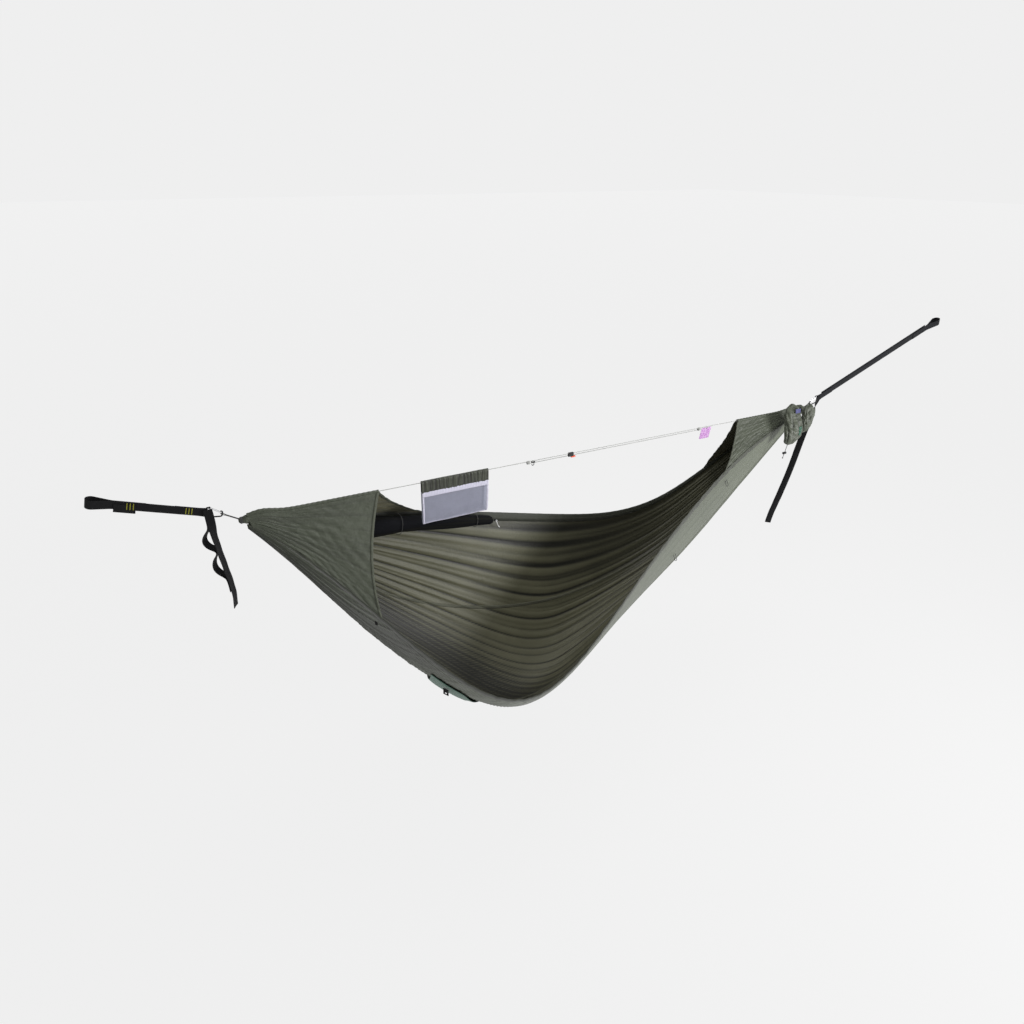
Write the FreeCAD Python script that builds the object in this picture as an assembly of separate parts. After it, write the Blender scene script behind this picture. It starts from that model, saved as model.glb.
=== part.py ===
import FreeCAD, Part
import math
import os

V = FreeCAD.Vector
X_AXIS = V(1, 0, 0)
Y_AXIS = V(0, 1, 0)
Z_AXIS = V(0, 0, 1)

# ---------------------------------------------------------------- driving dimensions (mm)
# Overall size of the hung hammock, measured from the head gather's tip.
ridge_length = 2740.0
bed_drop = 1020.0
rim_reach = 635.0

# Fabrics and seams.
fabric = 1.2
seam_gap = 0.6
hem_share = 0.014
hem_thick = 0.8
hood_length_head = 500.0
hood_length_foot = 440.0
hood_ridge_gap = 6.0

# Suspension webbing.
webbing_width = 30.0
webbing_thick = 1.8
ply_gap = 0.2
eye_radius = 15.0
head_strap_length = 328.0
head_strap_slope = 19.8
foot_strap_length = 772.0
foot_strap_slope = 24.6
head_tail_drop = 430.0
foot_tail_drop = 770.0

# Wire-gate carabiners.
rod_radius = 2.5
carabiner_length = 52.0
gate_wire = 0.9
gate_play = 0.4
pin_play = 0.08

# Cords.
ridge_cord = 1.5
loop_cord = 1.5
small_cord = 1.25
cord_play = 0.4

# What hangs on the ridgeline, measured from the head gather's tip.
hook_at = 1171.0
tensioner_at = 1356.0
knot_at = 2064.0
tag_at = 2111.0
organizer_at = 816.0
organizer_width = 290.0
sleeve_height = 46.0
pocket_height = 148.0
pocket_depth = 14.0
tag_size = 58.0

# Insect net, rolled along the far rim.
net_radius_head = 50.0
net_radius_foot = 25.0

# ---------------------------------------------------------------- frame
# The part's origin is the centre of the head strap's eye. The hammock is laid out from the
# head gather's tip and moved by this much.
PATTERN = (2740.0, 635.0, 1020.0)
head_bar = V(-104.0, 0, 50.0)
head_dir = V(math.cos(math.radians(head_strap_slope)), 0, -math.sin(math.radians(head_strap_slope)))
SHIFT = -(head_bar - head_dir * head_strap_length)
foot_bar = V(ridge_length + 90.0, 0, 37.0)
foot_dir = V(-math.cos(math.radians(foot_strap_slope)), 0, -math.sin(math.radians(foot_strap_slope)))

os.makedirs("parts", exist_ok=True)


def save(name, shape):
    """Move a finished sub-part from the gather's frame to the part's frame and write it."""
    shape = shape.copy()
    shape.translate(SHIFT)
    shape.exportStep("parts/%s.step" % name)


# ---------------------------------------------------------------- general builders
def rounded(points, radii):
    """A wire of straight runs joined by tangent arcs, one radius for each inner point."""
    edges = []
    last = points[0]
    for before, corner, after, radius in zip(points, points[1:], points[2:], radii):
        d_in = (corner - before).normalize()
        d_out = (after - corner).normalize()
        turn = d_in.getAngle(d_out)
        if radius <= 0 or turn < 1e-4:
            continue
        cut = radius * math.tan(turn / 2)
        start = corner - d_in * cut
        end = corner + d_out * cut
        inward = (d_out - d_in).normalize()
        middle = corner + inward * (radius / math.cos(turn / 2) - radius)
        if (start - last).Length > 1e-3:
            edges.append(Part.LineSegment(last, start).toShape())
        edges.append(Part.Arc(start, middle, end).toShape())
        last = end
    if (points[-1] - last).Length > 1e-3:
        edges.append(Part.LineSegment(last, points[-1]).toShape())
    return Part.Wire(edges)


def tube(wire, radius):
    """A round cord or rod along a wire."""
    first = wire.OrderedEdges[0]
    start = first.valueAt(first.FirstParameter)
    along = first.tangentAt(first.FirstParameter)
    if (start - wire.OrderedVertexes[0].Point).Length > 1e-3:
        start = first.valueAt(first.LastParameter)
        along = -first.tangentAt(first.LastParameter)
    profile = Part.Wire(Part.Circle(start, along, radius).toShape())
    return wire.makePipeShell([profile], True, False)


def rod(start, end, radius):
    """A straight round bar between two points."""
    return Part.makeCylinder(radius, (end - start).Length, start, end - start)


def plane_frame(origin, along, across):
    """Placement whose x runs along, y runs across, and z is their cross product."""
    up = along.cross(across)
    matrix = FreeCAD.Matrix(along.x, across.x, up.x, origin.x,
                            along.y, across.y, up.y, origin.y,
                            along.z, across.z, up.z, origin.z,
                            0, 0, 0, 1)
    return FreeCAD.Placement(matrix)


def band(points, radii, thick, width, placement):
    """Webbing bent in the local XY plane and as wide as width, centred on that plane."""
    path = [V(x, y, 0) for x, y in points]
    side = V(0, 0, width / 2)
    flat = (path[1] - path[0]).cross(Z_AXIS).normalize() * (thick / 2)
    low = path[0] - flat
    high = path[0] + flat
    corners = [low - side, low + side, high + side, high - side]
    profile = Part.makePolygon(corners + corners[:1])
    solid = rounded(path, radii).makePipeShell([profile], True, False)
    solid.Placement = placement.multiply(solid.Placement)
    return solid


def ribbon(points, across, width, thick):
    """Webbing through points, with its width along the matching direction at each one."""
    sections = []
    for i, point in enumerate(points):
        after = points[min(i + 1, len(points) - 1)]
        before = points[max(i - 1, 0)]
        side = across[i] * (width / 2)
        flat = (after - before).cross(across[i]).normalize() * (thick / 2)
        low = point - flat
        high = point + flat
        corners = [low - side, low + side, high + side, high - side]
        sections.append(Part.makePolygon(corners + corners[:1]))
    return Part.makeLoft(sections, True, True)


def offset_grid(grid, distance):
    """Move every point of a grid along the grid's own normal."""
    rows = len(grid)
    columns = len(grid[0])
    moved = []
    for i in range(rows):
        line = []
        for j in range(columns):
            along = grid[min(i + 1, rows - 1)][j] - grid[max(i - 1, 0)][j]
            over = grid[i][min(j + 1, columns - 1)] - grid[i][max(j - 1, 0)]
            line.append(grid[i][j] + along.cross(over).normalize() * distance)
        moved.append(line)
    return moved


def surface_face(grid):
    """A smooth face through every point of a grid."""
    surface = Part.BSplineSurface()
    surface.interpolate(grid)
    return surface.toShape()


def sheet(grid, thick=fabric, lift=0.0):
    """A closed solid of fabric around a grid of points, lifted along its normal."""
    outside = surface_face(offset_grid(grid, lift - thick / 2))
    inside = surface_face(offset_grid(grid, lift + thick / 2))
    skins = []
    for low, high in zip(outside.OuterWire.OrderedEdges, inside.OuterWire.OrderedEdges):
        skins.append(Part.makeRuledSurface(low, high))
    shell = Part.Shell([outside, inside] + skins)
    shell.sewShape()
    solid = Part.Solid(shell)
    if solid.Volume < 0:
        solid.reverse()
    return solid


def spline(points):
    """A cubic curve that starts and ends at its outer poles and is drawn towards the others."""
    degree = 3
    inner = len(points) - degree
    curve = Part.BSplineCurve()
    mults = [degree + 1] + [1] * (inner - 1) + [degree + 1]
    knots = [i / inner for i in range(inner + 1)]
    curve.buildFromPolesMultsKnots(points, mults, knots, False, degree)
    return curve


def spread(first, last, count):
    """Evenly spaced numbers from first to last."""
    return [first + (last - first) * i / (count - 1) for i in range(count)]


# ---------------------------------------------------------------- the bed's shape
def scaled(x, y, z):
    """A point of the pattern, stretched to the driving sizes."""
    return V(x * ridge_length / PATTERN[0], y * rim_reach / PATTERN[1], z * bed_drop / PATTERN[2])


near_poles = [(0, -10, -10), (105, -50, -70), (320, -235, -250), (575, -515, -515), (850, -635, -735),
              (1180, -530, -680), (1585, -345, -445), (1990, -190, -240), (2315, -90, -105),
              (2570, -40, -45), (2740, -10, -5)]
far_poles = [(0, 10, -10), (135, 50, -55), (375, 110, -135), (705, 150, -230), (1095, 160, -340),
             (1505, 210, -485), (1895, 270, -610), (2205, 245, -560), (2425, 175, -330),
             (2600, 90, -115), (2740, 10, -5)]
sag_poles = [12, 130, 375, 440, 430, 450, 445, 430, 335, 170, 12]
belly_poles = [0, -30, -24, -20, -5, 8, 16, 30, 20, 0, 0]

near_curve = spline([scaled(*p) for p in near_poles])
far_curve = spline([scaled(*p) for p in far_poles])
sag_curve = spline([scaled(0, b, s) for s, b in zip(sag_poles, belly_poles)])
belly_shape = 2.4
bed_start = 0.006
bed_end = 0.994


def bed_point(t, v):
    """Point of the loaded bed: t runs from head to foot, v from the near rim to the far one."""
    near = near_curve.value(t)
    far = far_curve.value(t)
    drop = sag_curve.value(t)
    depth = 1 - abs(2 * v - 1) ** belly_shape
    lean = v * (1 - v) ** 2 * 6.75
    return near + (far - near) * v - V(0, drop.y * lean, drop.z * depth)


def t_where(curve, x):
    """Parameter at which a rim reaches a given distance from the head gather."""
    low = 0.0
    high = 1.0
    for _ in range(40):
        middle = (low + high) / 2
        if curve.value(middle).x < x:
            low = middle
        else:
            high = middle
    return low


def trimmed(t, v, gap):
    """Move v across the bed by a gap in millimetres."""
    step = 0.01
    return v + gap * step / (bed_point(t, v + step) - bed_point(t, v)).Length


def bed_strip(name, across, columns, along=(bed_start, bed_end), rows=31, lift=0.0, thick=fabric, gaps=(0, 0)):
    """One sheet of the bed, between two lines across it and two along it."""
    v_from, v_to = across
    t_from, t_to = along
    grid = []
    for t in spread(t_from, t_to, rows):
        low = trimmed(t, v_from, gaps[0]) if gaps[0] else v_from
        high = trimmed(t, v_to, -gaps[1]) if gaps[1] else v_to
        grid.append([bed_point(t, v) for v in spread(low, high, columns)])
    save(name, sheet(grid, thick, lift))


near_seam = 0.24
far_seam = 0.76
hem_lift = fabric / 2 + 2.6
hem_run = (0.05, 0.95)
under_across = (0.09, 0.62)
under_along = (0.235, 0.46)
under_drop = 9.0


def build_bed():
    """Three panels, sewn side by side, with a rolled hem at each rim and a second layer below."""
    bed_strip("bed_near_panel", (0.0, near_seam), 7, gaps=(0, seam_gap))
    bed_strip("bed_center_panel", (near_seam, far_seam), 13, gaps=(seam_gap, seam_gap))
    bed_strip("bed_far_panel", (far_seam, 1.0), 7, gaps=(seam_gap, 0))
    bed_strip("near_rim_hem", (0.0, hem_share), 3, hem_run, lift=hem_lift, thick=hem_thick)
    bed_strip("far_rim_hem", (1.0 - hem_share, 1.0), 3, hem_run, lift=hem_lift, thick=hem_thick)
    bed_strip("under_layer", under_across, 7, under_along, rows=13, lift=-under_drop)


# ---------------------------------------------------------------- hoods
def hood_grid(curve, t_gather, t_corner, x_gather, x_front, side, bow):
    """Fabric between the ridgeline and a rim, with a hollowed front edge."""
    grid = []
    for s in spread(0.0, 1.0, 17):
        t = t_gather + (t_corner - t_gather) * s
        rim = curve.value(t) + V(0, side * 2.5, 2.5)
        ridge = V(x_gather + (x_front - x_gather) * s, side * hood_ridge_gap, 0)
        ridge.z = -1.5 * (1 - s)
        line = []
        for w in spread(0.0, 1.0, 7):
            point = ridge + (rim - ridge) * w
            fullness = 4 * w * (1 - w) * s
            point = point + V(-bow * fullness, side * 6.0 * fullness, -10.0 * fullness)
            line.append(point)
        grid.append(line)
    return grid if side > 0 else [list(reversed(line)) for line in grid]


head_near_corner = t_where(near_curve, 400.0 * ridge_length / PATTERN[0])
head_far_corner = t_where(far_curve, 745.0 * ridge_length / PATTERN[0])
foot_near_corner = t_where(near_curve, 2130.0 * ridge_length / PATTERN[0])
foot_far_corner = t_where(far_curve, 2385.0 * ridge_length / PATTERN[0])


def build_hoods():
    """A hood over each end: two slopes that hang from the ridgeline to the rims."""
    head_front = hood_length_head
    foot_front = ridge_length - hood_length_foot
    foot_tip = ridge_length - 30.0
    slopes = (("head_hood_near", near_curve, 0.012, head_near_corner, 20.0, head_front, -1, 14.0),
              ("head_hood_far", far_curve, 0.012, head_far_corner, 20.0, head_front, 1, 14.0),
              ("foot_hood_near", near_curve, 0.985, foot_near_corner, foot_tip, foot_front, -1, -8.0),
              ("foot_hood_far", far_curve, 0.985, foot_far_corner, foot_tip, foot_front, 1, -14.0))
    for name, curve, t_gather, t_corner, x_gather, x_front, side, bow in slopes:
        grid = hood_grid(curve, t_gather, t_corner, x_gather, x_front, side, bow)
        save(name, sheet(grid))
    build_channel("head_hood_channel", 40.0, head_front)
    build_channel("foot_hood_channel", foot_front, foot_tip - 20.0)


def build_channel(name, start, end):
    """Sleeve between a hood's two slopes that the ridgeline runs through."""
    outer = rod(V(start, 0, 0), V(end, 0, 0), hood_ridge_gap - fabric / 2 - 1.0)
    bore = rod(V(start - 1, 0, 0), V(end + 1, 0, 0), ridge_cord + cord_play)
    save(name, outer.cut(bore))


# ---------------------------------------------------------------- gathers and end loops
head_nose = head_bar + head_dir * carabiner_length
foot_nose = foot_bar + foot_dir * carabiner_length
gather_length = 9.0


def build_gather(name, toward):
    """Whipped bundle of the bed's fabric, a short cone that tapers to the end loop."""
    bed_x = near_curve.value(bed_start).x if toward > 0 else near_curve.value(bed_end).x
    inner = bed_x - toward * 1.5
    outer = inner - toward * gather_length
    cone = Part.makeCone(7.0, 14.0, gather_length, V(outer, 0, -8.0), X_AXIS * toward)
    save(name, cone)
    return V(outer - toward * 1.2, 0, -8.0)


def build_end_loop(name, nose, gather_end):
    """Cord eye from the gather through the carabiner and round its nose."""
    along = nose - gather_end
    reach = along.Length
    along.normalize()
    placement = plane_frame(gather_end, along, Y_AXIS)
    turn = 5.2
    leg = 2.2
    points = [V(0.0, leg, 0), V(reach - 14.0, leg, 0), V(reach - 2.0, turn, 0), V(reach + turn, turn, 0),
              V(reach + turn, -turn, 0), V(reach - 2.0, -turn, 0), V(reach - 14.0, -leg, 0), V(0.0, -leg, 0)]
    wire = rounded(points, [12.0, 12.0, turn, turn, 12.0, 12.0])
    solid = tube(wire, loop_cord)
    solid.Placement = placement.multiply(solid.Placement)
    save(name, solid)


# ---------------------------------------------------------------- suspension
def strap_frame(bar, inward, length):
    """Local frame of a strap: x runs from the eye to the carabiner, y across the plies."""
    eye = bar - inward * length
    return plane_frame(eye, inward, Y_AXIS * (1 if inward.x > 0 else -1))


eye_throat = 55.0
grip_throat = 22.0


def loop_height(throat, radius, half_ply):
    """Height of a teardrop's outer corner, whose leg leaves the plies at its throat."""
    lean = math.asin((radius - half_ply * math.cos(math.asin(radius / throat))) / throat)
    return half_ply + math.tan(lean) * (throat + radius)


def build_strap(end, bar, inward, length, daisy_run, tack_places):
    """One strap: a sewn eye outside, a loop round the carabiner inside, and a daisy ply."""
    frame = strap_frame(bar, inward, length)
    half = (webbing_thick + ply_gap) / 2
    eye = eye_radius + webbing_thick / 2
    grip = rod_radius + 0.3 + webbing_thick / 2
    top = loop_height(eye_throat, eye, half)
    nip = loop_height(grip_throat, grip, half)
    points = [(150.0, half), (eye_throat, half), (-eye, top), (-eye, -top), (eye_throat, -half),
              (length - grip_throat, -half), (length + grip, -nip), (length + grip, nip),
              (length - grip_throat, half), (length - 95.0, half)]
    radii = [60.0, eye, eye, 60.0, 12.0, grip, grip, 12.0]
    save(end + "_strap", band(points, radii, webbing_thick, webbing_width, frame))
    layer = half + webbing_thick + ply_gap
    daisy = [(daisy_run[0], -layer), (daisy_run[1], -layer)]
    daisy_solid = band(daisy, [], webbing_thick, webbing_width, frame)
    drop = frame.Rotation.multVec(V(0, 0, 1)) * (-10.0 if inward.x > 0 else 6.0)
    daisy_solid.translate(V(drop.x, drop.y, drop.z))
    save(end + "_strap_daisy", daisy_solid)
    tacks = []
    for place in tack_places:
        face = layer if place < daisy_run[1] else half
        for step in (-9.0, 0.0, 9.0):
            corner = V(place + step, -face - webbing_thick / 2 - 0.6, -webbing_width * 0.4)
            tacks.append(Part.makeBox(2.4, 0.5, webbing_width * 0.8, corner))
    joined = Part.makeCompound(tacks)
    joined.Placement = frame.multiply(joined.Placement)
    save(end + "_strap_tacks", joined)


def heading(degrees):
    """Level direction at an angle from the ridgeline's."""
    return V(math.cos(math.radians(degrees)), math.sin(math.radians(degrees)), 0)


tail_gap = 2.6


def build_tail(end, bar, stations, bows):
    """Spare webbing below a carabiner: a main strand, and a daisy ply that bows into loops."""
    track = smooth([bar + V(x, y, z) for x, y, z, _ in stations])
    turns = smooth([V(turn, 0, z) for _, _, z, turn in stations])
    path = []
    across = []
    for level in spread(stations[0][2], stations[-1][2], 45):
        path.append(track.value(level_share(track, bar.z + level)))
        across.append(heading(turns.value(level_share(turns, level)).x))
    save(end + "_tail", ribbon(path, across, webbing_width, webbing_thick))
    bow_curve = smooth([V(bow, 0, z) for z, bow in bows])
    path = []
    across = []
    for level in spread(bows[0][0], bows[-1][0], 45):
        side = heading(turns.value(level_share(turns, level)).x)
        away = bow_curve.value(level_share(bow_curve, level)).x + webbing_thick + tail_gap
        path.append(track.value(level_share(track, bar.z + level)) - side.cross(Z_AXIS) * away)
        across.append(side)
    save(end + "_tail_loops", ribbon(path, across, webbing_width * 0.96, webbing_thick))


def smooth(points):
    """A curve through every point."""
    curve = Part.BSplineCurve()
    curve.interpolate(points)
    return curve


def level_share(curve, level):
    """Parameter at which a falling curve reaches a level."""
    low = curve.FirstParameter
    high = curve.LastParameter
    for _ in range(40):
        middle = (low + high) / 2
        if curve.value(middle).z > level:
            low = middle
        else:
            high = middle
    return low


corner_bend = 4.0
bar_half = webbing_width / 2 + corner_bend + 0.5
nose_half = 9.5
pivot = V(9.0, bar_half, 0)
nose_tip = V(carabiner_length - 7.0, nose_half + 1.5, 0)


def build_carabiner(end, bar, inward, up):
    """Wire-gate carabiner: an open rod with a lug, and a bent wire gate pinned through it."""
    frame = plane_frame(bar, inward, up)
    spine = [pivot, V(0, bar_half, 0), V(0, -bar_half, 0), V(carabiner_length, -nose_half, 0),
             V(carabiner_length, nose_half, 0), nose_tip]
    body = tube(rounded(spine, [corner_bend, corner_bend, 7.0, 4.5]), rod_radius)
    lug = Part.makeCylinder(rod_radius + 1.1, 2 * rod_radius, pivot - Z_AXIS * rod_radius)
    hole = Part.makeCylinder(gate_wire + pin_play, 6 * rod_radius, pivot - Z_AXIS * 3 * rod_radius)
    body = body.fuse(lug).cut(hole).removeSplitter()
    body.Placement = frame
    save(end + "_carabiner", body)
    leg = rod_radius + gate_play + gate_wire
    closing = nose_tip - V(1.0, leg, 0)
    bend = [pivot + Z_AXIS * leg, closing + Z_AXIS * leg, closing - Z_AXIS * leg, pivot - Z_AXIS * leg]
    gate = tube(rounded(bend, [2.4, 2.4]), gate_wire)
    pin = Part.makeCylinder(gate_wire, 2 * leg, pivot - Z_AXIS * leg)
    gate = gate.fuse(pin)
    for level in (-leg, leg):
        gate = gate.fuse(Part.makeSphere(gate_wire, pivot + Z_AXIS * level))
    gate.Placement = frame
    save(end + "_gate", gate)


# ---------------------------------------------------------------- ridgeline
ring_major = 7.0
ring_wire = 2.0
strand_gap = 9.0


def cord_turn(name, start, corner_x, direction, end_x):
    """Straight strand, a half turn round a ring's bar, and the strand that comes back."""
    far = corner_x + direction * strand_gap / 2
    points = [start, V(far, 0, 0), V(far, 0, -strand_gap), V(end_x, 0, -strand_gap)]
    save(name, tube(rounded(points, [strand_gap / 2, strand_gap / 2]), ridge_cord))


def build_ridgeline():
    """Taut cord from gather to gather, joined at a ring, with a returning strand to shorten it."""
    head_x = near_curve.value(bed_start).x
    foot_x = near_curve.value(bed_end).x
    ring_centre = V(hook_at, 0, -strand_gap / 2)
    ring = Part.makeTorus(ring_major, ring_wire, ring_centre)
    root = ring_centre - V(0, ring_major + 1.0, 0)
    hook = [root, root - V(0, 0, 12.0), root - V(9.0, 0, 12.0), root - V(9.0, 0, 5.0)]
    save("ridge_hook", ring.fuse(tube(rounded(hook, [4.0, 3.5]), 1.4)))
    head_knot = hook_at - 30.0
    knot_length = 12.0
    foot_knot = knot_at - knot_length / 2
    cord_turn("ridgeline_head", V(head_x, 0, 0), hook_at - ring_major, 1, head_knot + knot_length)
    cord_turn("ridgeline_foot", V(foot_x, 0, 0), hook_at + ring_major, -1, foot_knot)
    for name, start in (("ridge_knot_head", head_knot), ("ridge_knot_foot", foot_knot)):
        middle = V(start, 0, -strand_gap / 2)
        knot = rod(middle, middle + X_AXIS * knot_length, strand_gap / 2 + 3.0)
        bore = rod(V(start - 1, 0, 0), V(start + knot_length + 1, 0, 0), ridge_cord + 0.05)
        save(name, knot.cut(bore))


def build_tensioner():
    """Line tensioner that slides along both strands: a black body and an orange lever."""
    length = 27.0
    middle = V(tensioner_at, 0, -strand_gap / 2)
    body = Part.makeBox(length, 8.0, strand_gap + 8.0, middle - V(length / 2, 4.0, strand_gap / 2 + 4.0))
    body = body.makeFillet(2.0, [e for e in body.Edges if abs(e.tangentAt(e.FirstParameter).x) < 0.5])
    for level in (0.0, -strand_gap):
        start = V(tensioner_at - length, 0, level)
        body = body.cut(rod(start, start + X_AXIS * 2 * length, ridge_cord + cord_play))
    save("tensioner_body", body)
    lever_length = 22.0
    lever = Part.makeBox(lever_length, 10.0, 6.0, V(tensioner_at + 2.0, -5.0, -strand_gap - 4.0 - 6.3))
    lever = lever.makeFillet(2.0, lever.Edges)
    save("tensioner_lever", lever)


def build_tag():
    """Square tag on a small loop that slides and hangs round the ridgeline."""
    loop = 5.5
    wire = 0.8
    centre = V(tag_at, 0, -loop + ridge_cord + wire + cord_play)
    ring = Part.makeTorus(loop, wire, centre, X_AXIS)
    save("tag_loop", ring)
    hole = 2.6
    low = centre.z - loop
    plate = Part.makeBox(tag_size, 1.4, tag_size, V(tag_at - tag_size / 2, -0.7, low - tag_size + hole + 3.0))
    plate = plate.makeFillet(3.0, [e for e in plate.Edges if abs(e.tangentAt(e.FirstParameter).y) > 0.5])
    eyelet = Part.makeCylinder(hole, 6.0, V(tag_at, -3.0, low), Y_AXIS)
    notch = Part.makeBox(tag_size, 4.0, 12.0, V(tag_at - tag_size / 2 - 1, -2.0, low + 4.0))
    save("tag", plate.cut(eyelet).cut(notch))


# ---------------------------------------------------------------- organizer
tunnel_radius = ridge_cord + cord_play + 1.2
sleeve_bore = tunnel_radius + 0.3
cloth = 1.6


def build_organizer():
    """Pocket that hangs on the ridgeline: it slides along the cord and swings about it."""
    left = organizer_at - organizer_width / 2
    tunnel = rod(V(left + 2, 0, 0), V(left + organizer_width - 2, 0, 0), tunnel_radius)
    tunnel = tunnel.cut(rod(V(left, 0, 0), V(left + organizer_width, 0, 0), ridge_cord + cord_play))
    save("organizer_tunnel", tunnel)
    outer = rod(V(left, 0, 0), V(left + organizer_width, 0, 0), sleeve_bore + cloth)
    wall = Part.makeBox(organizer_width, cloth, sleeve_height, V(left, sleeve_bore, -sleeve_height))
    bore = rod(V(left - 1, 0, 0), V(left + organizer_width + 1, 0, 0), sleeve_bore)
    save("organizer_sleeve", outer.fuse(wall).cut(bore).removeSplitter())
    base = -sleeve_height - pocket_height
    back = Part.makeBox(organizer_width, cloth, pocket_height, V(left, sleeve_bore, base))
    save("organizer_back", back)
    front = sleeve_bore - pocket_depth
    corner = V(left, front, base)
    shell = Part.makeBox(organizer_width, pocket_depth, pocket_height - 4.0, corner)
    room = Part.makeBox(organizer_width - 2 * cloth, pocket_depth, pocket_height)
    room.translate(corner + V(cloth, cloth, cloth))
    save("organizer_mesh", shell.cut(room))


# ---------------------------------------------------------------- insect net
def net_centre(t, radius):
    """Centre of the rolled net, inside the far rim and a little below it."""
    return far_curve.value(t) + V(0, -1.34 * radius - 6.0, -0.56 * radius - 1.0)


def build_net():
    """Insect net rolled up and tied along the inside of the far rim."""
    t_head = t_where(far_curve, 400.0 * ridge_length / PATTERN[0])
    t_foot = t_where(far_curve, 1055.0 * ridge_length / PATTERN[0])
    rings = []
    for s in spread(0.0, 1.0, 9):
        radius = net_radius_head + (net_radius_foot - net_radius_head) * s
        t = t_head + (t_foot - t_head) * s
        centre = net_centre(t, radius)
        along = far_curve.tangent(t)[0]
        rings.append(Part.Wire(Part.Circle(centre, V(along.x, along.y, along.z), radius).toShape()))
    save("bug_net", Part.makeLoft(rings, True, False))
    for name, s in (("net_tie_head", 0.3), ("net_tie_foot", 0.86)):
        radius = net_radius_head + (net_radius_foot - net_radius_head) * s
        t = t_head + (t_foot - t_head) * s
        along = far_curve.tangent(t)[0]
        tie = Part.makeTorus(radius + 2.2, 1.2, net_centre(t, radius), V(along.x, along.y, along.z))
        save(name, tie)
    end = net_centre(t_foot, net_radius_foot) + V(4.0, -6.0, 0)
    slider = Part.makeBox(8.0, 6.0, 12.0, end - V(0, 3.0, 6.0))
    save("net_slider", slider.makeFillet(1.5, slider.Edges))
    pull = end + V(12.6, 0, -6.0)
    eye = Part.makeTorus(3.2, 1.0, pull, Y_AXIS)
    route = [pull + V(0, 0, -3.6), pull + V(4, -1, -18), pull + V(10, 0, -32), pull + V(19, 2, -44)]
    save("net_pull", eye.fuse(tube(rounded(route, [20.0, 20.0]), 1.6)))


# ---------------------------------------------------------------- tie-outs and stuff sack
def out_from_bed(t, v):
    """Point on the bed, and the direction that leaves it on the outside."""
    step = 0.01
    along = bed_point(min(t + step, 1.0), v) - bed_point(t - step, v)
    across = bed_point(t, v + step) - bed_point(t, max(v - step, 0.0))
    return bed_point(t, v), across.cross(along).normalize()


def build_tie_outs():
    """Loops and tabs sewn outside the bed for guy lines."""
    loops = (("tie_loop_near", 1885.0, 0.15, 30.0), ("tie_loop_foot", 2180.0, 0.04, 26.0))
    for name, x, v, drop in loops:
        t = t_where(near_curve, x * ridge_length / PATTERN[0])
        point, out = out_from_bed(t, v)
        start = point + out * 3.6
        low = start + out * 16.0 - Z_AXIS * drop
        points = [start - X_AXIS * 5.0, low - X_AXIS * 7.0, low + X_AXIS * 7.0, start + X_AXIS * 5.0]
        save(name, tube(rounded(points, [6.0, 6.0]), small_cord))
    tabs = (("tie_tab_head", 388.0, 0.02, 16.0, 16.0), ("tie_tab_low", 600.0, 0.12, 34.0, 20.0))
    for name, x, v, size, away in tabs:
        t = t_where(near_curve, x * ridge_length / PATTERN[0])
        point, out = out_from_bed(t, v)
        start = point + out * away
        across = V(out.x, out.y, 0).normalize()
        frame = plane_frame(start, across.cross(Z_AXIS), Z_AXIS)
        tab = Part.makeBox(size * 0.7, size, 2.4, V(-size * 0.35, -size, 0))
        hole = Part.makeCylinder(size * 0.16, 8.0, V(0, -size * 0.74, -2.0))
        tab = tab.cut(hole)
        tab.Placement = frame
        save(name, tab)


def stacked(levels):
    """A bag through oval rings: each level is its height, centre and half-widths."""
    rings = []
    for z, x, y, half_x, half_y in levels:
        oval = Part.Ellipse(V(0, 0, 0), half_x, half_y).toShape()
        oval.translate(V(x, y, z))
        rings.append(Part.Wire(oval))
    return Part.makeLoft(rings, True, False)


def build_sack():
    """Stuff sack sewn to the foot gather, slack and empty, with a drawcord and a cord lock."""
    x = ridge_length - 169.0
    body = [(66, x - 2, -60, 28, 9), (45, x, -70, 44, 18), (5, x + 4, -84, 55, 26),
            (-45, x + 4, -112, 57, 28), (-90, x - 2, -118, 46, 25), (-125, x - 6, -112, 24, 14)]
    save("sack_body", stacked(body))
    x = ridge_length - 38.0
    lobe = [(44, x, -56, 28, 9), (10, x, -66, 36, 18), (-35, x - 4, -78, 38, 22), (-75, x - 8, -82, 32, 18),
            (-98, x - 12, -78, 16, 10)]
    save("sack_lobe", stacked(lobe))
    collar_x = ridge_length - 21.0
    collar = rod(V(collar_x, 0, -8.0), V(collar_x + 6.0, 0, -8.0), 21.0)
    save("sack_collar", collar.cut(rod(V(collar_x - 1, 0, -8.0), V(collar_x + 7.0, 0, -8.0), 14.6)))
    label = Part.makeBox(32.0, 20.0, 0.8, V(-16.0, 0, 0))
    label.Placement = plane_frame(V(ridge_length - 162.0, -98.5, 34.0), X_AXIS, V(0, 7.5, 20.0).normalize())
    save("sack_label", label)
    mouth = V(ridge_length - 175.0, -112.0, -125.3)
    lock_at = mouth - V(0, 0, 48.0)
    save("sack_drawcord", rod(mouth, mouth - V(0, 0, 78.0), small_cord))
    barrel = Part.makeCylinder(6.0, 16.0, lock_at - X_AXIS * 8.0, X_AXIS)
    bore = Part.makeCylinder(4.3, 20.0, lock_at - X_AXIS * 4.5, X_AXIS)
    passage = rod(lock_at - Z_AXIS * 10, lock_at + Z_AXIS * 10, small_cord + cord_play)
    save("lock_barrel", barrel.cut(bore).cut(passage))
    button = Part.makeCylinder(4.2, 14.0, lock_at - X_AXIS * 1.5, X_AXIS)
    slot_from = lock_at - V(small_cord + 0.6, small_cord + 0.6, 6.0)
    slot = Part.makeBox(4.0 + 2 * small_cord, 2 * small_cord + 1.2, 12.0, slot_from)
    save("lock_button", button.cut(slot))


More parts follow.
